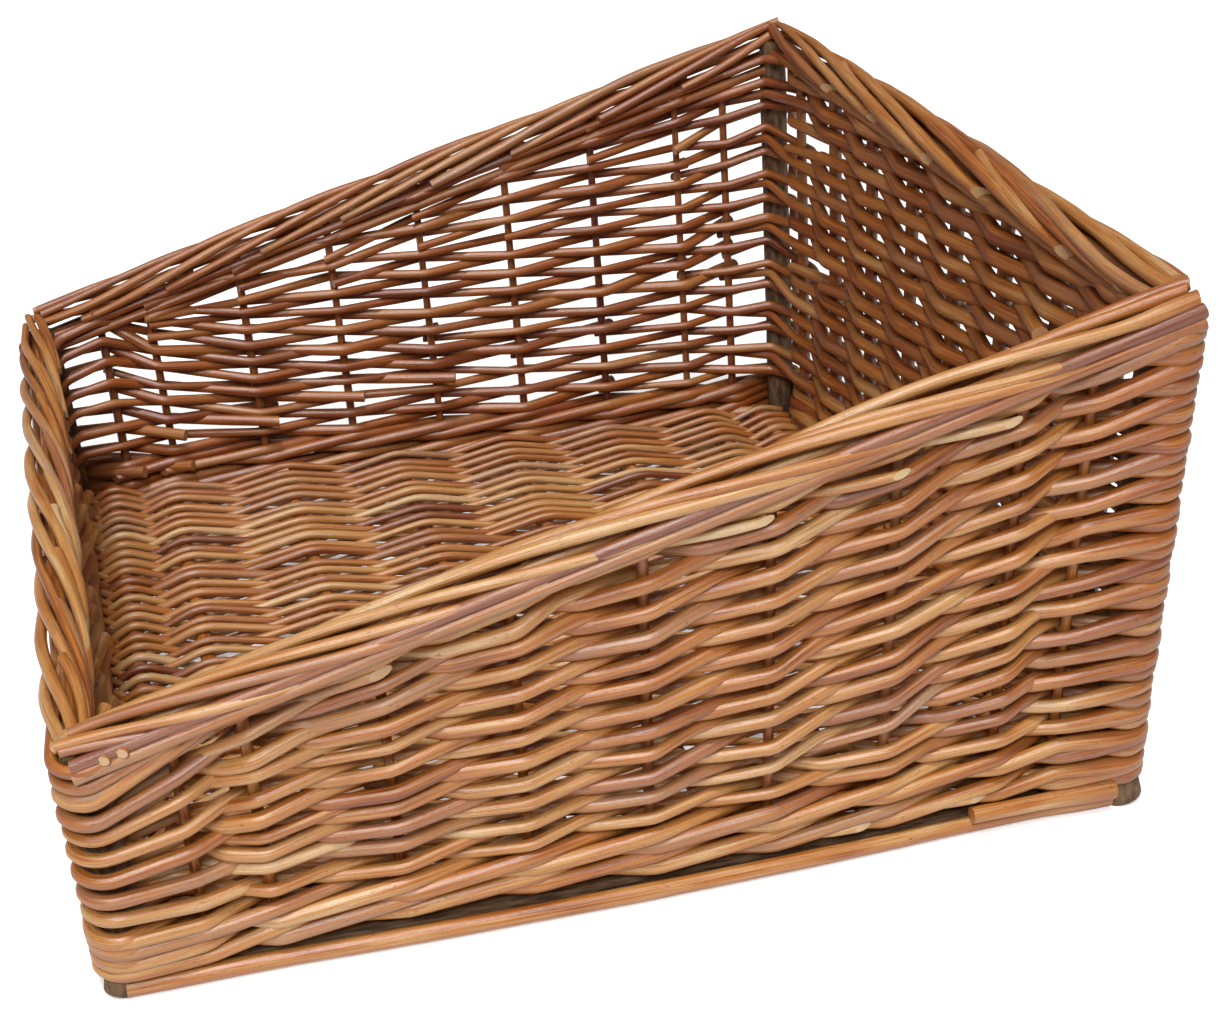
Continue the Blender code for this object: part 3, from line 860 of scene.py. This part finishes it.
def weave_upper(pair, member, begin, place, finish):
    """Weave one course of a pair between two stops."""
    road = stops(2 * int(pair) + member, begin, finish)
    weave["upper"] += rods_of_course(road, level_of(pair, place), ABOVE[member], tone=UPPER_TONE)


for pair in range(ALL_PAIRS):
    for member in (0, 1):
        row = 2 * pair + member
        if pair in ON_NEAR[:LOW_PAIRS]:
            place = sorted(ON_NEAR[:LOW_PAIRS]).index(pair)
            middle = inside_stop(near, rng.randint(2, 6), row, 1)
            road = stops(row, (-1, inside_stop(low, low_joins[place], row, 1)), (0, middle))
            weave["lower"] += rods_of_course(road, level_of(pair, place), ABOVE[member])
            begin = (0, middle)
        elif first_upright(near, pair) is not None:
            begin = (0, inside_stop(near, first_upright(near, pair), row, -1))
        else:
            begin = (1, inside_stop(tall, 0, row, 1))
        weave_upper(pair, member, begin, *far_finish(pair, row))
for pair, first in SHORT_ON_FAR:
    for member in (0, 1):
        row = 2 * int(pair) + member
        weave_upper(pair, member, (2, inside_stop(far, first, row, -1)), *far_finish(pair, row))
for pair in SHORT_ON_TALL:
    for member in (0, 1):
        row = 2 * int(pair) + member
        begin, finish = inside_stop(tall, 0, row, 1), inside_stop(tall, LAST_ON_TALL, row, -1)
        weave_upper(pair, member, (1, begin), None, (1, finish))
print("rods so far:", {name: len(rods) for name, rods in weave.items()})

# %% [markdown]
# ## Odd ends
#
# Three rods more go round the low near corner just under the border. Two
# blunt butts stick out beside that post. Seven slender tips end outside the
# near side, four of them under the rim and three on the twisted rows at the
# bottom. Each comes out between the rods before it ends in a pale cut.

# %% Corner courses
CORNER_COURSES = ((0.0132, 3, 6), (0.0192, 5, 4), (0.0255, 4, 2))
CORNER_ROD = 0.0056


def under_rim(drop):
    """The height rule of a rod that follows the rim from below."""
    return lambda wall, index: rim_over(wall, share_of(wall, index)) - drop


for drop, first, last in CORNER_COURSES:
    road = [(low, index, PASSES["low"][first % 2][index]) for index in range(first, len(low.shares))]
    road += [(low, None, 1)] + [(near, index, PASSES["near"][0][index]) for index in range(last + 1)]
    points = course_points(road, under_rim(drop), CORNER_ROD / 2)
    weave["lower"].append(rod(points, CORNER_ROD, 0.0044, slant=(0.5, 2.0)))
print("corner courses:", len(CORNER_COURSES))

# %% Butts at the corner
BUTT_PLACES = (0.004, 0.020)
BUTT_DROP = 0.0125
for share in BUTT_PLACES:
    z = rim_over(near, share) - BUTT_DROP
    butt_end = [near.place(share + 0.020, -0.002, z + 0.003), near.place(share + 0.004, 0.006, z + 0.0005),
                near.place(share, 0.0108, z)]
    weave["lower"].append(rod(butt_end, 0.0040, 0.0044, tone=0.35, bend=0.004, cuts=(0.0, 0.7)))

# %% Tips under the rim and on the wale
TIP_ENDS = ((0.408, 0.1617), (0.607, 0.1751), (0.739, 0.1870), (0.848, 0.2029),
            (0.718, 0.0150), (0.847, 0.0185), (0.978, 0.0235))
for share, z in TIP_ENDS:
    sink = 0.010 if z > 0.1 else 0.004
    tip_end = [near.place(share - 0.10, -0.003, z - sink), near.place(share - 0.035, 0.0068, z - 0.3 * sink),
               near.place(share, 0.0090, z)]
    weave["lower"].append(rod(tip_end, 0.0050, 0.0038, tone=0.7, slant=(0.0, 2.2), cuts=(0.0, 1.0)))

# %% The two weave pieces
rod_piece("weave_lower", weave["lower"], wall_willow, ("weave_near", "weave_low"))
rod_piece("weave_upper", weave["upper"], wall_willow, ("weave_far", "weave_tall"))

# %% [markdown]
# ## The wale
#
# Where the walls start, two courses of four rods are twisted round each other.
# This is a wale, and it locks the stakes to the base. Each rod passes outside
# two stakes while it climbs, and inside the next two while it sinks. Its butt
# lies inside, where the blunt end shows above the base. Along the near side
# the wale rises a little, and it follows the climb round the tall near post.

# %% Wale
WALE_ROD = 0.0066
WALE_FOOT = 0.0113
WALE_RISE = 0.0058
WALE_COURSE = 0.0116
WALE_HEIGHTS = (0.0, 1.0, 1.2, 0.2)
WALE_STRANDS = 4
WALE_STOPS = 9
WALE_CLIMB = 0.0022
WALE_SWELL = 0.0034
SWELL_END = 0.55
WALE_FOLLOW = (0.4, 0.8)
wale_rods = []
for course in range(2):
    for strand in range(WALE_STRANDS):
        road = stops(0, (0, strand), (4, strand + 1))
        points = []
        counter = 3
        started = -rng.randint(0, 5)
        for wall, index, side in road:
            phase = counter % WALE_STRANDS
            z = WALE_FOOT + course * WALE_COURSE + WALE_RISE * WALE_HEIGHTS[phase] + rng.gauss(0, 0.0005)
            if wall is near and index is not None:
                share = wall.shares[index]
                swell = WALE_SWELL * math.sin(math.pi * share / SWELL_END) * (1 - course)
                z += WALE_CLIMB * share + (swell if share < SWELL_END else 0)
            z += corner_rise(wall, share_of(wall, index)) * WALE_FOLLOW[course]
            if index is None:
                points += corner_points(wall, 1, z, WALE_ROD / 2)
                continue
            out = (1 if phase < 2 else -1) * (STAKE_RADIUS + WALE_ROD / 2 + BEND_ALLOWANCE)
            points.append(wall.place(wall.shares[index], out, z))
            counter += 1
            started += 1
            if started >= WALE_STOPS and phase == WALE_STRANDS - 1:
                slant = (rng.uniform(-0.4, 0.4), rng.uniform(-1.5, 1.5))
                wale_rods.append(rod(lengthened(points, 0.010, 0.008), WALE_ROD * 1.06, WALE_ROD * 0.86,
                                     tone=0.46, slant=slant))
                points = [wall.place(wall.shares[index], out - 0.001, z + 0.002)]
                started = 0
        if len(points) > 2:
            wale_rods.append(rod(lengthened(points, 0.010, 0.008), WALE_ROD, WALE_ROD * 0.9, tone=0.46))
rod_piece("upsett_wale", wale_rods, wall_willow)

# %% [markdown]
# ## Stakes and posts
#
# Stakes are thin rods that stand in the base and end in the border. Only short
# bits of them show between the strokes of the weave. Those of the tall end are
# a quarter thicker. The corner posts are thicker sticks that still wear their
# bark, and their feet spread outwards a little.

# %% Stakes
STAKE_FOOT = 0.002
STAKE_TOP = 0.011
TALL_STAKE = 1.25
stake_groups = {"near": [], "tall": [], "far": [], "low": []}
for wall in walls:
    for share in wall.shares:
        foot = wall.place(share, 0, STAKE_FOOT)
        top = wall.place(share, 0, rim_over(wall, share) - STAKE_TOP)
        middle = (foot + top) / 2
        thick = 2 * STAKE_RADIUS * rng.uniform(0.92, 1.08) * (TALL_STAKE if wall is tall else 1.0)
        stake_groups[wall.name].append(rod([foot, middle, top], thick, thick * 0.9, tone=0.45, up=(1, 0, 0),
                                           spacing=0.02))
for wall in walls:
    rod_piece(f"stakes_{wall.name}", stake_groups[wall.name], stake_willow,
              [f"stake_{wall.name}_{n}" for n in range(1, wall.stakes + 1)], sides=8)

# %% Bark
BARK_DARK = (0.055, 0.026, 0.012)
BARK_GREY = (0.19, 0.115, 0.058)
bark, bark_tree, bark_shader = new_material("post_bark")
bark_grain = add(bark_tree, "ShaderNodeAttribute", attribute_name="grain").outputs["Vector"]
bark_noise = add(bark_tree, "ShaderNodeTexNoise", {"Vector": scaled(bark_tree, bark_grain, (1.6, 1.6, 60.0)),
                                                   "Scale": 1.5, "Detail": 6.0}).outputs["Fac"]
bark_colour = ramp(bark_tree, bark_noise, ((0.36, BARK_DARK), (0.62, BARK_GREY)))
bark_tree.links.new(bark_colour, bark_shader.inputs["Base Color"])
bark_shader.inputs["Roughness"].default_value = 0.8
bark_bump = add(bark_tree, "ShaderNodeBump", {"Strength": 0.6, "Distance": 0.001, "Height": bark_noise})
bark_tree.links.new(bark_bump.outputs[0], bark_shader.inputs["Normal"])
print("bark made")

# %% Posts
POST_FLARE = 0.0048
FLARE_HEIGHT = 0.022
POST_TOP = 0.012
for end in ("low", "tall"):
    for side in ("near", "far"):
        top_z = (LOW_RIM if end == "low" else TALL_RIM) - POST_TOP
        outward = away_from_middle(end, side)
        points = [post_middle(end, side, z) + outward * POST_FLARE * max(0.0, 1 - z / FLARE_HEIGHT)
                  for z in (0.0, 0.006, 0.011, 0.016, FLARE_HEIGHT, *np.linspace(0.04, top_z, 7))]
        item = rod(points, 2 * POST_RADIUS, 2 * POST_RADIUS * 0.94, up=(1, 0, 0), lump=0.02, spacing=0.006)
        rod_piece(f"corner_post_{end}_{side}", [item], bark, (f"post_{end}_{side}",), sides=20)

# %% [markdown]
# ## The base
#
# The base is woven over sticks that cross it from side to side. The rods are
# thinner than in the walls and packed tight, so over each stick only every
# second rod shows. That gives the base its waves.

# %% Base weave
BASE_WEAVER = 0.0046
BASE_PITCH = 0.0048
BASE_STICK_RADIUS = 0.0040
BASE_HALF_WIDTH = 0.196
BASE_TUCK = 0.003
stick_names = [f"base_stick_{number}" for number in range(1, 9)]
stick_boxes = [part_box(name) for name in stick_names]
stick_places = [(low_corner[0] + high_corner[0]) / 2 for low_corner, high_corner in stick_boxes]
stick_level = (stick_boxes[0][0][2] + stick_boxes[0][1][2]) / 2
base_edge_x = (rests["rest_low_near"][0] - 0.001, rests["rest_tall_near"][0] + 0.001)
base_rods = []
rows = int(2 * BASE_HALF_WIDTH / BASE_PITCH)
for number in range(rows):
    y = (number - (rows - 1) / 2) * BASE_PITCH
    side = 1 if number % 2 == 0 else -1
    points = [(base_edge_x[0], y, stick_level - side * BASE_TUCK)]
    drift = rng.gauss(0, 0.0005)
    for index, x in enumerate(stick_places):
        reach = BASE_STICK_RADIUS + BASE_WEAVER / 2 + 0.0004
        above = side if index % 2 == 0 else -side
        points.append((x, y + drift + rng.gauss(0, 0.0005), stick_level + above * reach + rng.gauss(0, 0.0004)))
    points.append((base_edge_x[1], y, stick_level - side * BASE_TUCK))
    thick = BASE_WEAVER * rng.uniform(0.86, 1.14)
    base_rods.append(rod(points, thick, thick * rng.uniform(0.8, 1.0), spread=0.18, bend=0.012))
rod_piece("base_rods", base_rods, base_willow, ("base_weave",), sides=8)

# %% Base sticks
y_end = 0.5 * (stick_boxes[0][1][1] - stick_boxes[0][0][1])
stick_rods = []
for x in stick_places:
    stick_rods.append(rod([(x, -y_end, stick_level), (x, 0, stick_level), (x, y_end, stick_level)],
                          2 * BASE_STICK_RADIUS, 2 * BASE_STICK_RADIUS, spacing=0.02))
rod_piece("base_sticks", stick_rods, stake_willow, stick_names)

# %% [markdown]
# ## The rolled border
#
# From each stake a rod comes up and rolls slowly over the edge on its long way
# along the rim. On the sloping sides it moves from the inside to the outside
# as the rim rises, and ends there in a slanted cut. On the two ends it comes
# up outside and runs down on the inside. At the ends a second rod starts
# beside some of these with a blunt cut on top. Any place shows three to five
# rods side by side, and none of them turns like a screw. Straight rods below
# fill the border, and two more lie along each sloping side.

# %% Rolling rods and straight ones
ROLL_RADIUS = 0.0084
ROLL_ROD = 0.0056
ROLL_STEPS = 40


def edge_top(wall, share):
    """Height of the rim's top, also a little beyond the wall's ends."""
    if not wall.sloping:
        return rim_over(wall, share)
    return LOW_RIM + rim_slope * (wall.place(share, 0, HALF_UP)[0] - rim_low.x)


def roll(wall, starts, length, angles, flipped, limits, thick=ROLL_ROD, cuts=(0.45, 1.0)):
    """Rods that roll over the wall's edge from one angle to another."""
    rods = []
    for start in starts:
        points = []
        own_limits = limits[0] + rng.uniform(-0.010, 0.008), limits[1] + rng.uniform(-0.008, 0.004)
        cut_off = start < limits[0], start + length * 0.9 > limits[1]
        own_length = length * rng.uniform(0.90, 1.10)
        swing = rng.uniform(-5, 5)
        lift = rng.uniform(0.92, 1.08)
        for step in range(ROLL_STEPS + 1):
            way = start + own_length * step / ROLL_STEPS
            if way < own_limits[0] or way > own_limits[1]:
                continue
            squeeze = 1 - 0.45 * math.exp(-((min(way, 1 - way) + 0.03) / 0.06) ** 2)
            angle = math.radians(angles[0] + (angles[1] - angles[0]) * step / ROLL_STEPS + swing)
            share = 1 - way if flipped else way
            radius = ROLL_RADIUS * squeeze
            out = radius * lift * math.cos(angle) + rng.gauss(0, 0.0003)
            z = edge_top(wall, share) - radius - ROLL_ROD / 2 + radius * lift * math.sin(angle)
            points.append(wall.place(share, out, z))
        if len(points) > 3:
            own_thick = thick * rng.uniform(0.90, 1.12)
            own_cuts = tuple(0.3 if off else cut for off, cut in zip(cut_off, cuts))
            butt = own_thick * rng.uniform(0.85, 1.0) * (0.8 if cut_off[0] else 1.0)
            tip = own_thick * rng.uniform(0.70, 0.9)
            slant = (rng.uniform(-0.5, 0.5), 0.3 if cut_off[1] else rng.uniform(1.2, 2.4))
            rods.append(rod(points, butt, tip, bend=0.025, cuts=own_cuts, slant=slant))
    return rods


def core(wall, places, ends=(-0.010, 1.010)):
    """Straight rods that fill the border from below."""
    rods = []
    for out, drop in places:
        points = [wall.place(share, out, edge_top(wall, share) - drop)
                  for share in (ends[0], 0.2, 0.4, 0.6, 0.8, ends[1])]
        rods.append(rod(points, ROLL_ROD, ROLL_ROD * 0.9, tone=0.38))
    return rods


# %% Borders of the sloping sides
NEAR_LINES = ((0.0082, 0.0165), (0.0076, 0.0118))
FAR_LINES = ((-0.0045, 0.0250), (0.0042, 0.0285))
for wall, limits, lines, ends in ((near, (-0.036, 1.034), NEAR_LINES, (-0.024, 1.034)),
                                  (far, (-0.030, 1.026), FAR_LINES, (-0.010, 1.010))):
    starts = [-0.55 + 0.118 * number + rng.uniform(-0.012, 0.012) for number in range(13)]
    rim_rods = roll(wall, starts, 0.66, (215, -45), wall is far, limits)
    rim_rods += core(wall, ((0.0, 0.0112), (0.0030, 0.0190), (-0.0050, 0.0185)))
    rim_rods += core(wall, lines, ends)
    rod_piece(f"rim_{wall.name}", rim_rods, border_willow,
              (f"border_coil_{wall.name}", f"border_top_{wall.name}"))

# %% Borders of the two ends
for wall, length, span, gap, limits in ((low, 0.44, (-40, 190), 0.105, (-0.030, 1.030)),
                                        (tall, 0.74, (-45, 205), 0.135, (-0.018, 1.018))):
    starts = [0.12 - length + gap * number + rng.uniform(-0.010, 0.010) for number in range(16)]
    starts = [start for start in starts if start < 0.93]
    rolls = roll(wall, starts, length, span, wall is tall, limits, thick=0.0054)
    later = [start + 0.045 for start in starts[2:]] if wall is low else [0.22, 0.61]
    rolls += roll(wall, later, 0.24, (95, 205), wall is tall, (-0.020, 1.020), thick=0.0050,
                  cuts=(0.6, 0.5))
    rolls += core(wall, ((0.0, 0.0118), (0.0040, 0.0180), (-0.0045, 0.0180)))
    rod_piece(f"rolled_border_{wall.name}", rolls, border_willow,
              (f"border_{wall.name}_strand_1", f"border_{wall.name}_strand_2"))

# %% [markdown]
# ## The foot
#
# Long rods lie along the bottom edge on both sides of the stakes, so that the
# weave doesn't rub on the table. The outer one bows out a little between the
# posts. Between them lies a dark rod in the bark material. It is painted shade
# that fills the gap under the weave, where shadow falls. At the tall end of the
# near side a short rod lies on top of the outer one.

# %% Foot rods
FOOT_ROD = 0.0074
for wall in walls:
    foot_rods = []
    for out, z, bow in ((0.0052, 0.0041, 0.0055), (-0.0064, 0.0042, 0.0)):
        first_share = -0.022 if wall is near and bow else -0.005
        points = [wall.place(share, out + bow * max(0.35, math.sin(math.pi * share)), z)
                  for share in np.linspace(first_share, 1.005, 9)]
        foot_rods.append(rod(points, FOOT_ROD, FOOT_ROD * 0.95, lump=0.02, spread=0.1, bend=0.03))
    # Painted shade: a dark bark rod fills the gap between the foot rods, where shadow falls.
    dark = [wall.place(share, 0.0005, 0.0042) for share in (0.02, 0.5, 0.98)]
    rod_piece(f"foot_painted_shade_rod_{wall.name}", [rod(dark, 0.0070, 0.0062, lump=0.05)], bark)
    if wall is near:
        fold = [wall.place(share, 0.0098, 0.0105) for share in (0.84, 0.93, 1.005)]
        foot_rods.append(rod(fold, FOOT_ROD, FOOT_ROD, lump=0.01, spread=0.1, cuts=(0.0, 1.0)))
    rod_piece(f"foot_rods_{wall.name}", foot_rods, border_willow, (f"foot_{wall.name}",))
